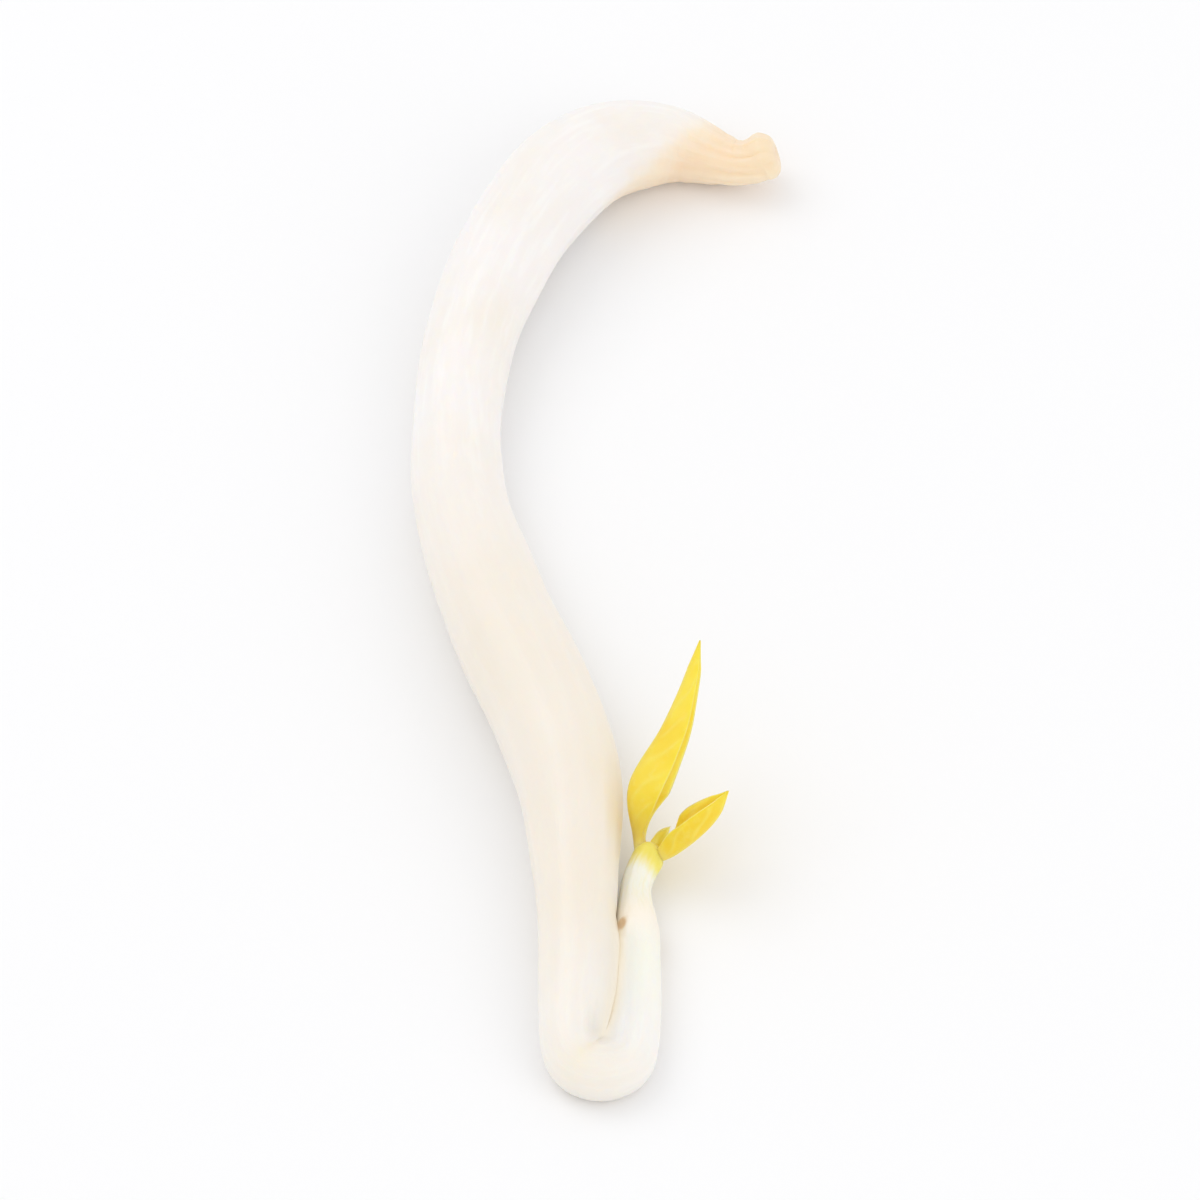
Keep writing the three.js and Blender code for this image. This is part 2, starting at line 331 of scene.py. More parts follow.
# ---- stem with root ----
stem = {
    "sides": 96,
    "ringSpacing": 0.09,  # mm
    "domeRings": 14,
    "domeStart": 0.04,  # share of a quarter turn that is left flat in the dome's middle
    "domeFlatness": 0.75,  # length of the root end's dome, in its radii
    "dimple": (0.2, 0.55),  # mm that the broken root end is sunk, and its reach in radii
    "lip": (0.05, 0.1, 0.35),  # mm high, how far from the root end, and its reach
    "striations": {"height": 0.011, "seed": 3, "count": 9, "turns": (7, 17), "pitch": (18, 60)},
    "swellings": {"height": 0.022, "seed": 8, "count": 7, "turns": (0, 2), "pitch": (3.0, 9.0)},
    "agedSwellings": 0.5,  # share of the swellings that the oldest part of the root loses
    "rootTowards": np.array([1.0, -0.8, -0.9]),  # the way in which the root has aged, first below
    "rootFade": (-14.7, -10.6),  # how far that way it starts, and where the root is oldest
    "rootPlaces": (4.5, 6.5),  # stations between which its age fades out, whatever the way
    "rootFolds": {"height": 1, "seed": 12, "count": 3, "turns": (4, 6), "pitch": (5.0, 12.0)},
    "rootFurrows": 0.04,  # mm deep between the folds, where the root has shrivelled
    "rootCreases": {"height": 0.009, "seed": 21, "count": 5, "turns": (0, 3), "pitch": (0.35, 0.8)},
    "hookCreases": {"height": 0.014, "place": 20.0, "reach": (1.6, 0.9), "pitch": 0.32},
    "fold": {"depth": 0.05, "place": 19.1, "angle": 1.9, "reach": (0.4, 1.1)},
    "scars": [(24.76, 2.3), (24.7, -0.6)],  # place and angle of each dropped seed leaf
    "scarReach": 0.4,
    "scarHeight": 0.1,
    "scarMiddle": (0.9, 0.42),  # share of the height by which it is sunk, and its reach
    "scarStain": 0.5,  # reach of the brown, where 1 is the rim
    "reliefEnd": 24.8,  # station from which the surface smooths out towards the shoot
    "collar": 0.3,  # mm that the stem's end runs on inside the shoot
    "collarRings": 8,
    "collarStep": 0.3,  # share of the radius by which it narrows there
    "tipFade": (-0.45, 1.3),  # mm from the root end over which its own darkness goes
    "bellyStart": (8.6, 12.2),  # stations over which the belly turns creamy: partly the flesh's own cream and partly painted warm shade
    "bellyEnd": (15.5, 18.0),  # and over which it loses most of that
    "bellyLoss": 0.65,
    "hookCream": (0.4, 20, 2.2),  # share of cream in the hook, its place and its reach
    "limbStart": (20.5, 23.0),  # stations over which the limb past the hook turns white, as painted light on the limb, which faces away from the key lamp
    "limbLoss": 0.8,
    # stations over which the stem turns to the node's pale colour: partly the shoot's own paler flesh and
    # partly painted light on the limb
    "nodeFade": (21.5, 24.3),
    # strength of the painted shade in the fold across the hook
    "foldShade": 0.7,
    "grainStretch": 10,  # how much longer than wide the streaks are
    "noises": {  # scale and detail
        "streaks": (5.0, 4.0),
        "fineStreaks": (16.0, 3.0),
        "clouds": (260.0, 3.0),
        "mottle": (700.0, 4.0),
        "shrivelled": (2400.0, 3.0),
        "cells": (5200.0, 2.0),
    },
    "fades": {  # the values between which a colour sets in, and its strength
        "cream": (0.4, 0.8, 0.75),
        "vein": (0.48, 0.7, 0.4),
        "rootPale": (0.24, 0.8, 1.0),
        "root": (0.75, 1.45, 0.85),
        "rootDark": (0.75, 1.5, 0.8),
        "scar": (0.35, 0.95, 0.65),
    },
    "ragged": {  # how far the mottle and the streaks break up a colour's edge
        "rootPale": (0.5, 0.0),
        "root": (0.7, 0.4),
        "rootDark": (0.6, 0.0),
        "scar": (0.0, 0.3),
    },
    "bellyClouds": (0.55, 0.6),  # share of the belly's cream and painted warm shade that is even, and that goes with the clouds
    "seamShadeStreaks": (0.2, 1.0),  # the same for the seam's painted shade, with the streaks
    "roughness": (0.3, 0.1, 0.2),  # plain, more with the clouds, and more with age
    "relief": {"fineStreaks": 0.4, "streaks": 0.4, "cells": 0.15},
    "reliefHeight": 0.025,  # mm
    "colours": {
        "flesh": tone(245, 241, 239),
        "cream": tone(241, 235, 225),
        "vein": tone(250, 249, 246),
        # the belly's cream, partly painted warm shade
        "belly": tone(240, 232, 219),
        # the node's pale flesh, made lighter as painted light on the limb
        "node": tone(254, 246, 232),
        "rootPale": tone(247, 234, 216),
        "root": tone(249, 222, 191),
        "rootDark": tone(238, 214, 184),
        "scar": tone(206, 160, 98),
        # painted shade in the crease along the wall between the limb and the thick stem, and in the fold
        # across the hook
        "seam": tone(246, 235, 210),
    },
}
contact = {  # where the limb past the hook is pressed against the thick stem
    "thick": (14.9, 18),  # stations of the thick stem along the wall between them
    "limb": (22, seedLeafNode),
    "swelling": 0.24,  # mm that either swells towards the other
    "swellingReach": 1.1,
    "swellingStart": (15.6, 16.3),
    "swellingEnd": (23.6, 24.8),
    "foot": np.array([0.5, -19.28, 0.0]),  # where they meet at the inside of the bend
    "curve": (0.296, -0.045),  # x of the wall, in powers of the distance from its foot
    "overlap": 0.015,  # mm that either passes it, so that no slit is left
    "seamHeight": 1.36,  # mm above the table, of the flesh pressed together between them
    "seamBlend": 0.7,  # mm over which it runs into the round of either
    "seamSides": (0.5, 0.9),  # mm from the wall over which the seam gives way to the plain round
    "seamStart": 1.1,  # stations over which it sets in on the thick stem
    "seamTop": 0.45,  # share of the way round to the wall's side at which it is full
    "seamFade": (-15.5, -14.3),  # y from which it sinks away, and where it is gone
    "fillet": (0.15, 0.08),  # mm by which the thick stem and the limb are raised at the wall
    "filletWidth": 0.22,
    "filletRise": 1.5,  # mm from the wall's foot to where they are fully raised
    "pivotReach": 0.55,  # mm round the wall's foot in which all sides come to one height
    "pivotHeight": 1.58,
    "shadeReach": 0.3,  # mm from the wall over which painted shade lies in the crease
    "opaqueReach": 0.3,  # mm from the wall in which the flesh lets no light through
    "creased": 22,  # degrees
}


def scarDistance(place, angle, scarPlace, scarAngle):  # from a scar's middle, 1 at its rim
    turn = turnFrom(angle, scarAngle)
    reach = stem["scarReach"]
    return np.sqrt(((place - scarPlace) / reach) ** 2 + turn**2 / reach)


def foldMark(place, angle):  # 1 in the middle of the fold that crosses the top of the hook
    fold = stem["fold"]
    placeReach, angleReach = fold["reach"]
    return bump(place - fold["place"], placeReach) * bump(turnFrom(angle, fold["angle"]), angleReach)


def hookMark(place, angle):  # 1 in the middle of the hook's inner side
    creases = stem["hookCreases"]
    placeReach, angleReach = creases["reach"]
    return bump(place - creases["place"], placeReach) * bump(turnFrom(angle, math.pi), angleReach)


def stemRelief(place, length, angle, age):
    # Lengthwise striations, slow swellings, the root's furrows and creases, the hook's creases on
    # its inner side, and a raised pad with a sunken middle at each scar.
    folds = np.abs(waves(angle, length, stem["rootFolds"]))
    furrows = stem["rootFurrows"] * (1 - np.clip(folds, 0, 1)) ** 3
    rootCreases = waves(angle, length, stem["rootCreases"])
    hookWave = np.cos(length * 2 * math.pi / stem["hookCreases"]["pitch"])
    relief = waves(angle, length, stem["striations"])
    relief = relief + waves(angle, length, stem["swellings"]) * (1 - stem["agedSwellings"] * age)
    relief = relief + age * (rootCreases - furrows)
    relief = relief + stem["hookCreases"]["height"] * hookMark(place, angle) * hookWave
    sunk, sunkReach = stem["scarMiddle"]
    for scar in stem["scars"]:
        distance = scarDistance(place, angle, *scar)
        relief = relief + stem["scarHeight"] * (bump(distance, 1.0) - sunk * bump(distance, sunkReach))
    relief = relief - stem["fold"]["depth"] * foldMark(place, angle)
    relief = relief * (1 - rampUp(place, stem["reliefEnd"], seedLeafNode))
    swollen = between(place, contact["swellingStart"], contact["swellingEnd"])
    facing = bump(turnFrom(angle, math.pi), contact["swellingReach"])
    return relief + contact["swelling"] * swollen * facing


def wallAt(y):  # x of the curved wall where the limb lies against the thick stem
    distance = np.maximum(y - contact["foot"][1], 0)
    first, second = contact["curve"]
    return contact["foot"][0] + first * distance + second * distance**2


def keptApart(points, place, thick, bend, limb):
    # Neither passes the wall between them, and in the bend no ring reaches past the wall's foot.
    overlap = contact["overlap"]
    release = np.maximum(points[..., 1] - contact["seamFade"][1], 0) ** 2
    wall = wallAt(points[..., 1])
    points[..., 0] = np.where(thick, np.minimum(points[..., 0], wall + overlap + release), points[..., 0])
    points[..., 0] = np.where(limb, np.maximum(points[..., 0], wall - overlap), points[..., 0])
    centre, _, _, across, _ = frameAt(place)
    inward = ((centre[:, None] - points) * across[:, None]).sum(-1)
    room = ((centre - contact["foot"]) * across)[:, :2].sum(1)[:, None] + 3 * overlap
    beyond = np.where(bend, np.maximum(inward - room, 0), 0)
    return points + beyond[..., None] * across[:, None]


def pressedTogether(points, place, angle):
    # On top, the round of either runs into a seam: the smooth maximum of its own height and the
    # seam's, raised a little along the wall and level round the wall's foot.
    thickStart, thickEnd = contact["thick"]
    limbStart, limbEnd = contact["limb"]
    thick = ((place > thickStart) & (place < thickEnd))[:, None]
    bend = ((place >= thickEnd) & (place <= limbStart))[:, None]
    limb = ((place > limbStart) & (place < limbEnd))[:, None]
    points = keptApart(points, place, thick, bend, limb)
    x, y, own = points[..., 0], points[..., 1], points[..., 2]
    footX, footY, _ = contact["foot"]
    pastEnds = np.minimum(y - footY, 0) + np.maximum(y - contact["seamFade"][1], 0)
    fromWall = np.hypot(x - wallAt(y), pastEnds)
    kept = 1 - rampUp(y, *contact["seamFade"])
    seam = contact["seamHeight"] * kept
    nearness = np.maximum(contact["seamBlend"] - np.abs(own - seam), 0)
    soft = np.maximum(own, seam) + nearness**2 / (4 * contact["seamBlend"])
    fillet = np.interp(place, [thickEnd, limbStart], contact["fillet"])[:, None]
    fillet = fillet * bump(fromWall, contact["filletWidth"]) * rampUp(y - footY, 0, contact["filletRise"])
    soft = soft + fillet * kept
    level = bump(np.hypot(x - footX, y - footY), contact["pivotReach"])
    soft = soft * (1 - level) + contact["pivotHeight"] * level
    share = rampUp(place, thickStart, thickStart + contact["seamStart"])[:, None]
    share = share * rampUp(-np.cos(angle), 0, contact["seamTop"])
    soft = own + (soft - own) * share * (1 - rampUp(fromWall, *contact["seamSides"]))
    upper = np.sin(angle) > -0.01  # with the points at the two sides
    points[..., 2] = np.where(upper & (thick | bend | limb), soft, own)
    return points, np.where(thick | bend | limb, fromWall, np.inf)


def stemPoints(place, angle, reach, forward):  # points round the axis, pressed flat on the table
    centre, _, along, across, upward = frameAt(place)
    centre = centre + along * forward[:, None]
    points = centre[:, None] + across[:, None] * (reach * np.cos(angle))[..., None]
    points = points + upward[:, None] * (reach * np.sin(angle))[..., None]
    points[..., 2] = np.maximum(points[..., 2], 0)
    return points


def stemProfile():
    # For each ring its place, its length along the stem, its share of the radius and how far it is
    # moved along: a sunken dome closes the root end, and a collar runs on inside the shoot.
    place, length = evenPlaces(centreAt, 0.0, seedLeafNode, stem["ringSpacing"])
    domeTurn = np.linspace(stem["domeStart"], 1, stem["domeRings"], endpoint=False) * math.pi / 2
    dimple, dimpleReach = stem["dimple"]
    domeLength = stem["domeFlatness"] * stations[0, 3]
    dome = dimple * bump(np.sin(domeTurn), dimpleReach) - domeLength * np.cos(domeTurn)
    collarTurn = np.linspace(0, 1, stem["collarRings"] + 1)[1:] * math.pi / 2
    collar = stem["collar"] * np.sin(collarTurn)
    collarScale = 1 - stem["collarStep"] * (1 - np.cos(collarTurn))
    return (
        np.concatenate([0 * dome, place, seedLeafNode + 0 * collar]),
        np.concatenate([dome, length, length[-1] + collar]),
        np.concatenate([np.sin(domeTurn), np.ones(len(place)), collarScale]),
        np.concatenate([dome, 0 * place, collar]),
    )


def creaminess(place):  # cream at the belly, partly painted warm shade, less before the hook, some in it, and little past it on the limb, which is painted whiter as painted light
    belly = rampUp(place, *stem["bellyStart"]) * (1 - stem["bellyLoss"] * rampUp(place, *stem["bellyEnd"]))
    share, hookPlace, hookReach = stem["hookCream"]
    whiter = 1 - stem["limbLoss"] * rampUp(place, *stem["limbStart"])
    return (belly + share * bump(place - hookPlace, hookReach)) * whiter


def makeStem(material):
    # Each ring's reach is the axis's radius plus the relief and the lip, times the ring's share.
    angle = roundAngles(stem["sides"])
    place, length, scale, forward = stemProfile()
    placeDown, lengthDown, scaleDown = place[:, None], length[:, None], scale[:, None]
    radius = axisRow(place)[:, 3:]
    skin = stemPoints(place, angle, radius * scaleDown, forward)
    age = rampUp(skin @ stem["rootTowards"], *stem["rootFade"])
    age = age * (1 - rampUp(placeDown, *stem["rootPlaces"]))
    lip, lipPlace, lipReach = stem["lip"]
    lip = lip * bump(lengthDown - lipPlace, lipReach) * np.sin(angle)
    reach = (radius + stemRelief(placeDown, lengthDown, angle, age) + lip) * scaleDown
    rings, fromWall = pressedTogether(stemPoints(place, angle, reach, forward), place, angle)
    scars = [scarDistance(placeDown, angle, *scar) for scar in stem["scars"]]
    # painted shade in the fold across the hook
    fold = stem["foldShade"] * foldMark(placeDown, angle)
    fromNode = lengthDown - (length[-1] - stem["collar"])
    attributes = {
        "grain": grainRows(angle, lengthDown / stem["grainStretch"]),
        "age": age,
        "tip": 1 - rampUp(lengthDown, *stem["tipFade"]),
        "creamy": creaminess(placeDown),
        "nodeTint": rampUp(placeDown, *stem["nodeFade"]),
        "scarMark": sum(bump(distance, stem["scarStain"]) for distance in scars),
        # painted shade along the crease at the wall and in the fold
        "seam": np.maximum(bump(fromWall, contact["shadeReach"]), fold),
        "opaque": np.maximum(bump(fromWall, contact["opaqueReach"]), bump(fromNode, jointReach)),
    }
    return makeSkin("stemSkin", rings, "stem_with_root", material, attributes, contact["creased"])


def stemMaterial():
    paint = Paint("stemFlesh")
    colours, fades, noises = stem["colours"], stem["fades"], stem["noises"]
    place = paint.node("ShaderNodeTexCoord", {}, {}, "Object")
    grain = paint.attribute("grain", "Vector")
    age, tip, creamy = paint.attribute("age"), paint.attribute("tip"), paint.attribute("creamy")
    streaks, fineStreaks = paint.noise(grain, noises["streaks"]), paint.noise(grain, noises["fineStreaks"])
    clouds, mottle = paint.noise(place, noises["clouds"]), paint.noise(place, noises["mottle"])
    cells, shrivelled = paint.noise(place, noises["cells"]), paint.noise(place, noises["shrivelled"])
    colour = paint.tint(colours["flesh"], colours["cream"], clouds, fades["cream"])
    colour = paint.tint(colour, colours["vein"], streaks, fades["vein"])
    # the belly's cream, partly painted warm shade, with the hook's cream, and less on the limb as painted
    # light
    even, cloudy = stem["bellyClouds"]
    colour = paint.mix(creamy * (even + cloudy * clouds), colour, colours["belly"])
    # paler towards the node: partly the shoot's own flesh and partly painted light on the limb
    colour = paint.mix(paint.attribute("nodeTint"), colour, colours["node"])
    for name, value in (("rootPale", age), ("root", age), ("rootDark", tip)):
        mottled, streaked = stem["ragged"][name]
        ragged = value + mottle * mottled + streaks * streaked
        colour = paint.tint(colour, colours[name], ragged, fades[name])
    # painted shade along the crease at the wall and in the fold across the hook, streaked
    even, streaked = stem["seamShadeStreaks"]
    colour = paint.mix(paint.attribute("seam") * (even + streaked * streaks), colour, colours["seam"])
    mottled, streaked = stem["ragged"]["scar"]
    ragged = paint.attribute("scarMark") + mottle * mottled + streaks * streaked
    colour = paint.tint(colour, colours["scar"], ragged, fades["scar"])
    plain, withClouds, withAge = stem["roughness"]
    roughness = plain + withClouds * clouds + withAge * age
    heights = stem["relief"]
    relief = heights["fineStreaks"] * fineStreaks + heights["streaks"] * streaks
    relief = relief + heights["cells"] * cells + age * shrivelled
    return paint.finish(
        colour, roughness, relief, stem["reliefHeight"], fleshConstants, paint.attribute("opaque"))


makeStem(stemMaterial())
print("stem made")


# ---- young shoot with its growing tip ----
shoot = {
    "sides": 72,
    "ringSpacing": 0.04,  # mm
    "start": 24.6,  # station, inside the stem's end
    "startNarrowing": 0.06,  # share of the radius by which it is thinner there
    "cover": 0.004,  # share of the radius by which it stands outside the stem's end
    "coverPlaces": (24.88, 25.03),  # stations over which it comes out of the stem's end
    "domeRings": 22,
    "domeLength": 0.34,  # mm
    "domeDrop": 0.26,  # mm that the end falls away under the leaves
    "budRings": 40,
    "budRadius": 0.18,  # mm
    "budLength": 0.8,
    "budSwelling": 0.25,  # share by which it widens at first
    "budClosing": 1.23,  # share by which it has narrowed at its point
    "budLean": 0.2,  # mm towards the small leaf
    "budFolds": {"depth": 0.16, "count": 3, "twist": 4, "start": (0.0, 0.4)},  # of the next leaves
    "budDrop": 0.3,  # share of its length over which it stops falling away with the end
    "budTint": (0.0, 0.7),
    "grooves": [(1.1, 0.045), (-2.2, 0.035)],  # angle and depth in mm of each lengthwise groove
    "grooveReach": 0.3,
    "grooveStart": (0.6, 1.6),  # mm along the shoot
    "striations": {"height": 0.012, "seed": 5, "count": 7, "turns": (5, 12), "pitch": (4, 12)},
    "reliefStart": (0.6, 1.3),  # mm along the shoot
    "reliefEnd": 0.7,  # mm before its end over which the surface smooths out
    "slopes": (0.52, 0.8),  # of the large and the small leaf's side of the end
    "grainStretch": 4,
    "noises": {
        "streaks": (6.0, 4.0),
        "clouds": (900.0, 3.0),
        "cells": (5200.0, 2.0),
    },
    "fades": {
        "flesh": (0.0, 0.7, 1.0),
        "crown": (0.8, 1.02, 1.0),
    },
    "streakStart": (0.0, 0.5),  # share of the shoot's length over which its streaks set in
    "streakFade": (0.45, 0.7),
    "streakShare": 0.5,
    "crownStreaks": 0.1,
    "roughness": (0.32, 0.16),  # plain, and more with the clouds
    "cellHeight": 0.3,  # of the relief's cells, next to its streaks
    "reliefHeight": 0.02,  # mm
    "colours": {
        "flesh": tone(253, 246, 230),
        "streak": tone(250, 238, 205),
        "crown": tone(250, 226, 104),
        "tip": tone(250, 221, 84),
    },
}
ridgeAngle = math.pi / 24  # half a corner of the frame's solid
shootCentre, shootRadius, shootAlong, shootAcross, shootUpward = (
    value[0] for value in frameAt(np.array([leafNode])))
apart = shootAcross * math.cos(ridgeAngle) + shootUpward * math.sin(ridgeAngle)


def fallenAway(points, share):  # moved back along the shoot by the square of the way out to a leaf
    out = (points - shootCentre) @ apart / shootRadius
    return points - shootAlong * (share * shoot["domeDrop"] * out**2)[..., None]


def shaftPoints(place, length, angle):  # the shoot up to the node of the leaves, with its grooves
    outside = rampUp(place, *shoot["coverPlaces"])
    narrowing = shoot["startNarrowing"] * (1 - outside) - shoot["cover"] * outside
    radius = axisRow(place)[:, 3] * (1 - narrowing)
    relief = waves(angle, length[:, None], shoot["striations"])
    grooved = rampUp(length, *shoot["grooveStart"])[:, None]
    for grooveAngle, depth in shoot["grooves"]:
        relief = relief - depth * bump(turnFrom(angle, grooveAngle), shoot["grooveReach"]) * grooved
    fade = between(length, shoot["reliefStart"], (length[-1] - shoot["reliefEnd"], length[-1]))
    points = stemPoints(place, angle, radius[:, None] + relief * fade[:, None], 0 * place)
    return fallenAway(points, rampUp(place, seedLeafNode + 1, leafNode)[:, None]), radius[-1]


def domePoints(forward, turn, angle, radius):  # an oval's arc, with the turn's cosine as its reach
    reach = radius * np.cos(turn)[:, None]
    return fallenAway(stemPoints(leafNode + 0 * turn, angle, reach, forward), 1)


def budPoints(grown, angle, foot):
    # The radius swells and then closes by the cube of the way grown, with twisted folds as a cosine,
    # and the bud leans by the square of it.
    folds = shoot["budFolds"]
    twisted = np.cos(folds["count"] * angle + folds["twist"] * grown[:, None])
    folded = 1 + folds["depth"] * rampUp(grown, *folds["start"])[:, None] * twisted
    swollen = 1 + shoot["budSwelling"] * grown - shoot["budClosing"] * grown**3
    reach = shoot["budRadius"] * swollen[:, None] * folded
    points = stemPoints(leafNode + 0 * grown, angle, reach, foot + grown * shoot["budLength"])
    points = fallenAway(points, (1 - rampUp(grown, 0, shoot["budDrop"]))[:, None])
    return points + apart * (shoot["budLean"] * grown**2)[:, None, None]


def makeShoot(material):
    # The shaft, a dome that closes in to the bud's radius, and the bud, as one skin.
    angle = roundAngles(shoot["sides"])
    place, length = evenPlaces(centreAt, shoot["start"], leafNode, shoot["ringSpacing"])
    shaft, radius = shaftPoints(place, length, angle)
    domeTurn = np.linspace(0, math.acos(shoot["budRadius"] / shootRadius), shoot["domeRings"])[1:]
    domeForward = shoot["domeLength"] * np.sin(domeTurn)
    grown = np.linspace(0, 1, shoot["budRings"])[1:]
    dome = domePoints(domeForward, domeTurn, angle, radius)
    bud = budPoints(grown, angle, domeForward[-1])
    end = length[-1]
    allLength = np.concatenate([length, end + domeForward, end + domeForward[-1] + grown])[:, None]
    budTip = np.concatenate([0 * length, 0 * domeTurn, rampUp(grown, *shoot["budTint"])])
    attributes = {
        "grain": grainRows(angle, allLength / shoot["grainStretch"]),
        "young": allLength / end,
        "opaque": bump(allLength - np.interp(seedLeafNode, place, length), jointReach),
        "budTip": budTip[:, None],
    }
    rings = np.concatenate([shaft, dome, bud])
    return makeSkin("shootSkin", rings, "epicotyl", material, attributes)


def shootMaterial():
    paint = Paint("shootFlesh")
    colours, fades, noises = shoot["colours"], shoot["fades"], shoot["noises"]
    place = paint.node("ShaderNodeTexCoord", {}, {}, "Object")
    streaks = paint.noise(paint.attribute("grain", "Vector"), noises["streaks"])
    clouds, cells = paint.noise(place, noises["clouds"]), paint.noise(place, noises["cells"])
    young = paint.attribute("young")
    streaky = paint.ramp(streaks, *shoot["streakFade"]) * paint.ramp(young, *shoot["streakStart"])
    colour = paint.tint(stem["colours"]["node"], colours["flesh"], young, fades["flesh"])
    colour = paint.mix(streaky * shoot["streakShare"], colour, colours["streak"])
    colour = paint.tint(colour, colours["crown"], young + streaks * shoot["crownStreaks"], fades["crown"])
    colour = paint.mix(paint.attribute("budTip"), colour, colours["tip"])
    plain, withClouds = shoot["roughness"]
    roughness = plain + withClouds * clouds
    relief = streaks + shoot["cellHeight"] * cells
    return paint.finish(
        colour, roughness, relief, shoot["reliefHeight"], fleshConstants, paint.attribute("opaque"))


makeShoot(shootMaterial())
print("shoot made")


# ---- the two folded leaves ----
leafShape = {
    "ringSpacing": 0.045,  # mm
    "turnSpan": 0.5,  # keel points before and behind that set which way a ring faces
    "foldTurn": 2,  # keel points over which the fold turns from the foot's way to its own
    "bladeSides": 30,  # points from the keel to an edge, on one face
    "thickness": 0.2,  # mm
    "leastGap": 0.02,  # mm from a blade's inner face to the fold's middle plane, at the edge
    "keelWidth": 0.25,  # mm from the fold's middle to where the blade starts
    "keelDepth": 0.1,
    "roundings": {"outer": 0.07, "keel": 0.1, "notch": 0.12, "inner": 0.05},  # shares of the way out
    "notch": 0.26,  # mm that the flesh reaches into the fold
    "notchShare": 0.7,  # share of the depth that it fills at most
    "bulge": 0.07,  # how far a blade bulges out, in its depth
    "thinTip": (0.25, 0.9),  # share of the thickness at the tip, and keel points in which a whole one goes
    "footSink": 0.25,  # mm that the stalk is rooted in the shoot
    "stalkRadius": (0.2, 0.25),  # mm, towards the open edges and across
    "stalkShift": 0.8,  # radii from the keel to the stalk's middle
    "stalkOuter": 0.7,  # share of a half turn that the outer face takes
    "stalkFlare": (0.35, 0.6),  # share by which it is thicker at its foot, and its reach
    "veinPitch": 1.05,  # mm along the keel from one side vein to the next
    "veinSlant": 1.5,  # veins that a side vein passes on its way to the edge
    "veinBend": 0.8,  # power of the way out; below 1 it slants most near the keel
    "veinWidth": 0.13,  # in its pitch
    "veinHeight": 0.03,
    "veinAcross": ((0.02, 0.25), (0.75, 1)),  # shares of the way out over which veins come and go
    "veinAlong": ((0.12, 0.3), (0.75, 0.95)),  # and of the leaf's length
    "veinInside": 0.6,  # share of the height that the inner face follows
    "veinDrift": {"height": 0.1, "count": 3, "turns": (1, 2), "pitch": (1.1, 3)},
    "tipPoint": 0.1,  # share of its length over which a leaf closes to its point
    "tipLeast": 0.005,  # of that closing, so that the point stays a small ring
    "tipDepth": 0.3,  # share of its depth that is left there
    "ripple": {"height": 0.05, "count": 3, "turns": (0, 0), "pitch": (1.6, 3.4)},  # of the edges
    "rippleAlong": ((0.15, 0.4), (0.8, 1)),
    "noises": {
        "clouds": (520.0, 3.0),
        "mottle": (3200.0, 3.0),
        "cells": (9000.0, 2.0),
    },
    "fades": {
        "bladeDeep": (0.35, 0.68, 1.0),
        "mottle": (0.5, 0.75, 0.35),
        "fold": (0.0, 0.08, 0.5),
        "rim": (0.93, 1.0, 0.6),
    },
    "veinShare": 0.4,
    "stalkFade": (0.02, 0.3),  # share of the length over which the stalk's colour goes
    "roughness": (0.42, 0.14),
    "cellHeight": 0.4,
    "reliefHeight": 0.012,  # mm
    "constants": {
        "Subsurface Weight": 0.55,
        "Subsurface Radius": (1.0, 0.7, 0.15),
        "Subsurface Scale": 0.6 * mm,
        "IOR": 1.4,
    },
    "colours": {
        "blade": tone(250, 221, 76),
        "bladeDeep": tone(246, 210, 52),
        "vein": tone(249, 225, 112),
        "rim": tone(250, 230, 140),
        "stalk": tone(246, 227, 134),
    },
}
leafLarge = {
    "name": "leafLargeBlade",
    "node": "leaf_large",
    "side": -1,
    "slope": shoot["slopes"][0],
    "footReach": 0.46,  # mm from the shoot's centre to the keel
    "footLength": 0.75,
    "footDepths": (0.26, 0.42),
    "keel": [  # x, y, z and depth of the fold in mm
        (1.38, -10.0, 2.75, 1.2),
        (2.4, -8.3, 3.5, 0.88),
        (3.1, -6.9, 4.2, 0.45),
        (3.55, -5.7, 4.8, 0.12),
    ],
    "stalkEnd": (0.5, 1.7),  # keel points between which the round stalk opens into the blade
    "halfAngle": 0.34,  # from the fold's middle plane to a blade
    "foldTowards": (0.88, -0.46, -0.12),  # the way in which the fold is open
    "seed": 31,
}
leafSmall = {
    "name": "leafSmallBlade",
    "node": "leaf_small",
    "side": 1,
    "slope": shoot["slopes"][1],
    "footReach": 0.34,
    "footLength": 0.5,
    "footDepths": (0.26, 0.42),
    "keel": [
        (3.4, -11.6, 2.05, 0.82),
        (4.05, -11.15, 2.55, 0.68),
        (4.48, -10.5, 3.05, 0.12),
    ],
    "stalkEnd": (0.3, 1.3),
    "halfAngle": 0.34,
    "foldTowards": (-0.45, 0.46, 0.78),
    "seed": 47,
}
bladeShare = np.linspace(0, 1, leafShape["bladeSides"])[None]  # from the fold to the edge


def keelRows(leaf):  # the keel's points and depths, from the foot on the shoot's slope
    cos, sin = math.cos(leaf["slope"]), math.sin(leaf["slope"])
    square = shootAlong * cos + apart * leaf["side"] * sin
    footOpen = shootAlong * sin - apart * leaf["side"] * cos
    foot = shootCentre - footOpen * leaf["footReach"]
    ankle = foot + square * leaf["footLength"]
    foot = foot - square * leafShape["footSink"]
    stalk = np.column_stack([[foot, ankle], leaf["footDepths"]])
    return np.vstack([stalk, leaf["keel"]]), square, footOpen


def loopRound(rightOut, rightIn, leftIn, leftOut):
    # Round one outline: out and back in over the right blade's faces, then over the left blade's.
    # Each face is given from the fold to the edge, and no point comes twice.
    return np.concatenate([rightOut[:, :-1], rightIn[:, :0:-1], leftIn[:, :-1], leftOut[:, :0:-1]], 1)


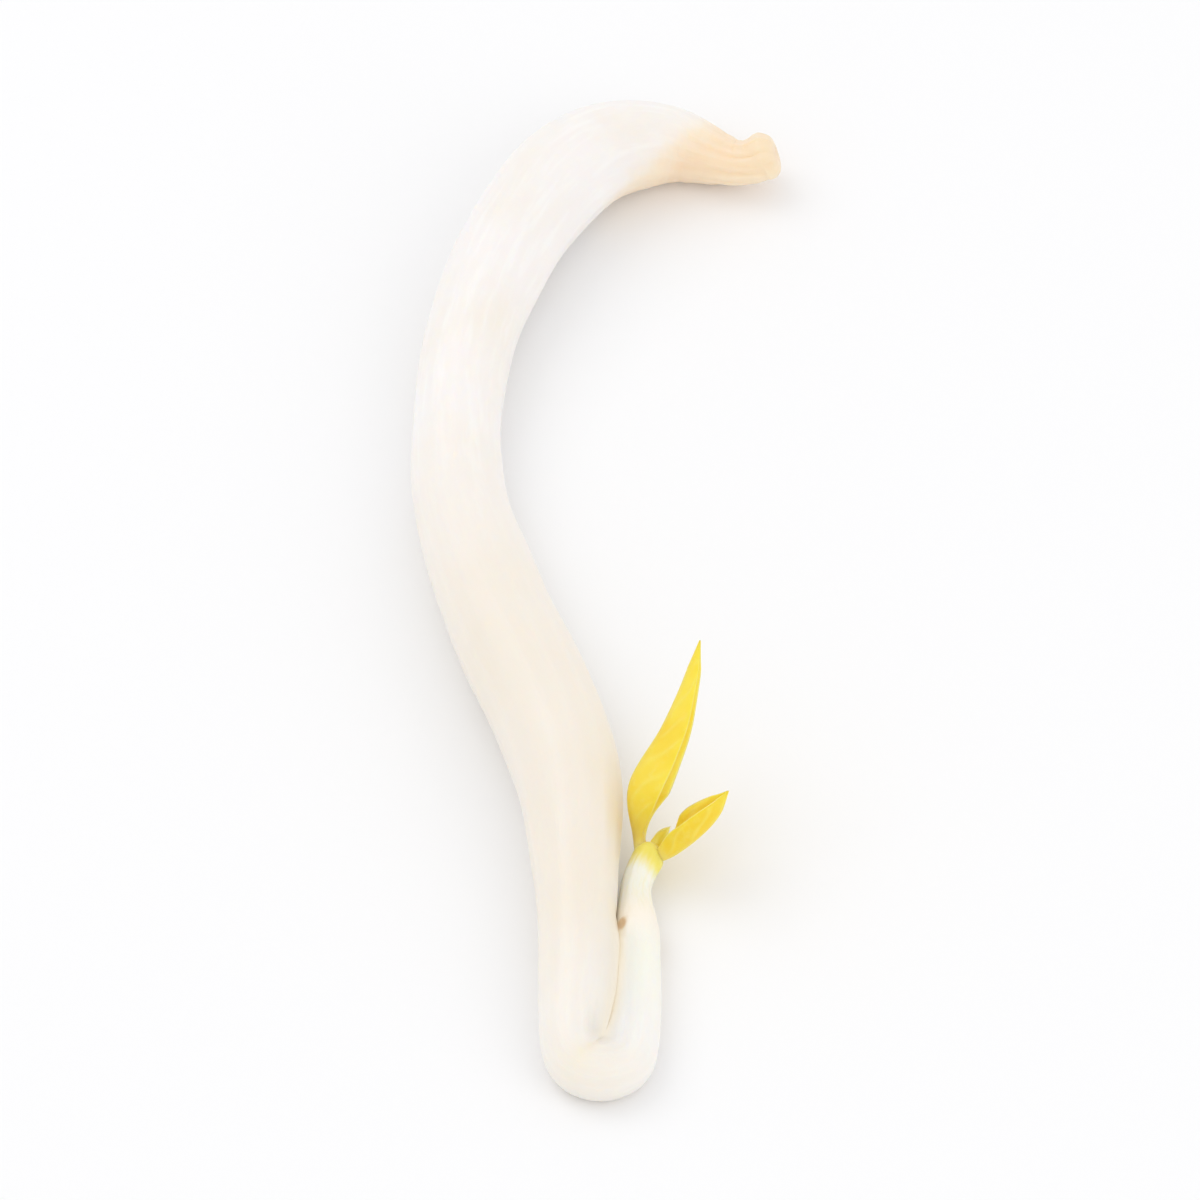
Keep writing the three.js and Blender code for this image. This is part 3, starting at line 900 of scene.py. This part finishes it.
def foldedSection(depth, thinness, halfAngle, veins, wave):
    # One closed outline for each ring, as distances towards the open edges and across the fold.
    # A blade leaves the fold at half the fold's angle and bulges a little, and its inner face
    # stands inside the outer one by a thickness that thins out to nothing at the edge.
    out = bladeShare
    cos, sin = math.cos(halfAngle), math.sin(halfAngle)
    roundings = {name: np.exp(-out / reach) for name, reach in leafShape["roundings"].items()}
    rise = 1 - roundings["outer"]
    keel = leafShape["keelDepth"] * thinness * roundings["keel"]
    outAcross = leafShape["keelWidth"] * thinness * rise + depth * sin * out
    outAcross = outAcross + leafShape["bulge"] * depth * np.sin(math.pi * out)
    flesh = leafShape["thickness"] * thinness * np.sqrt(1 - out**6)
    notch = np.minimum(leafShape["notch"] * thinness, leafShape["notchShare"] * depth)
    inAcross = np.maximum(outAcross - flesh, leafShape["leastGap"] * out) * (1 - roundings["inner"])
    outDepth = depth * cos * out - keel
    inDepth = depth * cos * out + notch * roundings["notch"]
    faces = []
    for side, vein in zip((1, -1), veins):
        shift = wave * out**2
        outer = np.stack([outDepth, side * (outAcross + vein) + shift], -1)
        inner = np.stack([inDepth, side * (inAcross + leafShape["veinInside"] * vein * rise) + shift], -1)
        faces.append((outer, inner))
    (rightOut, rightIn), (leftOut, leftIn) = faces
    return loopRound(rightOut, rightIn, leftIn, leftOut)


def stalkSection(place):
    # The same outline drawn on an oval: from the fold's back round to its inside, on either side.
    radii = np.array(leafShape["stalkRadius"])
    outerShare = leafShape["stalkOuter"]
    faces = []
    for turn in (outerShare * bladeShare, 1 - (1 - outerShare) * bladeShare):
        oval = np.stack([leafShape["stalkShift"] - np.cos(math.pi * turn), np.sin(math.pi * turn)], -1)
        faces.append(oval * radii)
    outer, inner = faces
    mirror = np.array([1, -1])
    flare, flareReach = leafShape["stalkFlare"]
    thicker = 1 + flare * bump(place, flareReach)
    return loopRound(outer, inner, inner * mirror, outer * mirror) * thicker[:, None, None]


def veinRidges(length, grown, seed):
    # Side veins on either blade, half a pitch apart: ridges where the length in pitches, less the
    # slant on the way out, is half past a whole number.
    drift = waves(3 * bladeShare, length, {**leafShape["veinDrift"], "seed": seed})
    slant = leafShape["veinSlant"] * bladeShare ** leafShape["veinBend"]
    shown = between(bladeShare, *leafShape["veinAcross"]) * between(grown, *leafShape["veinAlong"])
    phase = length / leafShape["veinPitch"] - slant + drift
    return [bump((phase + offset) % 1 - 0.5, leafShape["veinWidth"]) * shown for offset in (0.0, 0.5)]


def makeLeaf(leaf, material):
    # Rings stand square on the keel, and each is the stalk's oval mixed with the folded section.
    rows, square, footOpen = keelRows(leaf)
    last = len(rows) - 1.0
    place, length = evenPlaces(lambda at: through(rows, at)[:, :3], 0, last, leafShape["ringSpacing"])
    keel = through(rows, place)
    ahead = through(rows, np.minimum(place + leafShape["turnSpan"], last))
    behind = through(rows, np.maximum(place - leafShape["turnSpan"], 0))
    along = unit((ahead - behind)[:, :3])
    along[0] = square
    share = np.minimum(place / leafShape["foldTurn"], 1)[:, None]
    openWay = footOpen * (1 - share) + np.array(leaf["foldTowards"]) * share
    openWay = unit(openWay - along * (openWay * along).sum(1, keepdims=True))
    across = np.cross(along, openWay)
    length = length[:, None]
    grown = length / length[-1]
    tipShare, tipReach = leafShape["thinTip"]
    thinness = np.minimum(1, tipShare + (last - place) / tipReach)[:, None]
    veins = veinRidges(length, grown, leaf["seed"] + 1)
    wave = waves(0.0, length, {**leafShape["ripple"], "seed": leaf["seed"]})
    wave = wave * between(grown, *leafShape["rippleAlong"])
    ridges = [leafShape["veinHeight"] * vein for vein in veins]
    section = foldedSection(keel[:, 3:], thinness, leaf["halfAngle"], ridges, wave)
    opened = rampUp(place, *leaf["stalkEnd"])[:, None, None]
    section = stalkSection(place) * (1 - opened) + section * opened
    pointed = np.sqrt(np.clip((1 - grown) / leafShape["tipPoint"], leafShape["tipLeast"], 1))
    tipDepth = leafShape["tipDepth"]
    section = section * np.stack([tipDepth + (1 - tipDepth) * pointed, pointed], -1)
    rings = keel[:, None, :3] + openWay[:, None] * section[..., :1] + across[:, None] * section[..., 1:]
    right, left = veins
    blade = np.broadcast_to(bladeShare, right.shape)
    attributes = {
        "vein": loopRound(right, right, left, left),
        "edge": loopRound(blade, blade, blade, blade),
        "grown": grown,
    }
    return makeSkin(leaf["name"], rings, leaf["node"], material, attributes)


def leafMaterial():
    paint = Paint("leafBlade")
    colours, fades, noises = leafShape["colours"], leafShape["fades"], leafShape["noises"]
    place = paint.node("ShaderNodeTexCoord", {}, {}, "Object")
    vein, edge, grown = paint.attribute("vein"), paint.attribute("edge"), paint.attribute("grown")
    clouds, mottle = paint.noise(place, noises["clouds"]), paint.noise(place, noises["mottle"])
    toFold = fades["fold"][1] - edge
    colour = paint.tint(colours["blade"], colours["bladeDeep"], clouds, fades["bladeDeep"])
    colour = paint.tint(colour, colours["vein"], mottle, fades["mottle"])
    colour = paint.mix(vein * leafShape["veinShare"], colour, colours["vein"])
    colour = paint.tint(colour, colours["vein"], toFold, fades["fold"])
    colour = paint.tint(colour, colours["rim"], edge, fades["rim"])
    colour = paint.mix(1 - paint.ramp(grown, *leafShape["stalkFade"]), colour, colours["stalk"])
    plain, withClouds = leafShape["roughness"]
    roughness = plain + withClouds * clouds
    relief = mottle + leafShape["cellHeight"] * paint.noise(place, noises["cells"])
    return paint.finish(colour, roughness, relief, leafShape["reliefHeight"], leafShape["constants"])


leafPaint = leafMaterial()
makeLeaf(leafLarge, leafPaint)
makeLeaf(leafSmall, leafPaint)
print("leaves made")


# ---- floor and light ----
studio = {
    "floorSize": 4.0,  # metres
    "floorTone": tone(250, 250, 250),
    "floorRoughness": 0.7,
    "worldTone": tone(251, 251, 252),
    "worldStrength": 0.915,
    "lamps": [  # name, place in mm, size in mm, watts
        ("keyLamp", (-190, 130, 300), 260, 0.2),
        ("fillLamp", (230, -160, 200), 260, 0.13),
    ],
}


def makeStudio():
    half = studio["floorSize"] / 2
    mesh = bpy.data.meshes.new("floor")
    corners = [(-half, -half, 0), (half, -half, 0), (half, half, 0), (-half, half, 0)]
    mesh.from_pydata(corners, [], [(0, 1, 2, 3)])
    paint = Paint("floorPaint")
    paint.feed(paint.shader.inputs["Base Color"], studio["floorTone"])
    paint.feed(paint.shader.inputs["Roughness"], studio["floorRoughness"])
    mesh.materials.append(paint.material)
    floor = bpy.data.objects.new("floor", mesh)
    bpy.context.scene.collection.objects.link(floor)
    world = bpy.data.worlds.new("studio")
    world.use_nodes = True
    sky = world.node_tree.nodes["Background"]
    sky.inputs["Color"].default_value = studio["worldTone"]
    sky.inputs["Strength"].default_value = studio["worldStrength"]
    bpy.context.scene.world = world
    for name, place, size, watts in studio["lamps"]:
        lamp = bpy.data.lights.new(name, "AREA")
        lamp.size = size * mm
        lamp.energy = watts
        holder = bpy.data.objects.new(name, lamp)
        holder.location = Vector(place) * mm
        holder.rotation_euler = Vector(place).to_track_quat("Z", "Y").to_euler()
        bpy.context.scene.collection.objects.link(holder)
    bpy.context.scene.view_settings.view_transform = "Standard"


makeStudio()
print("studio made")
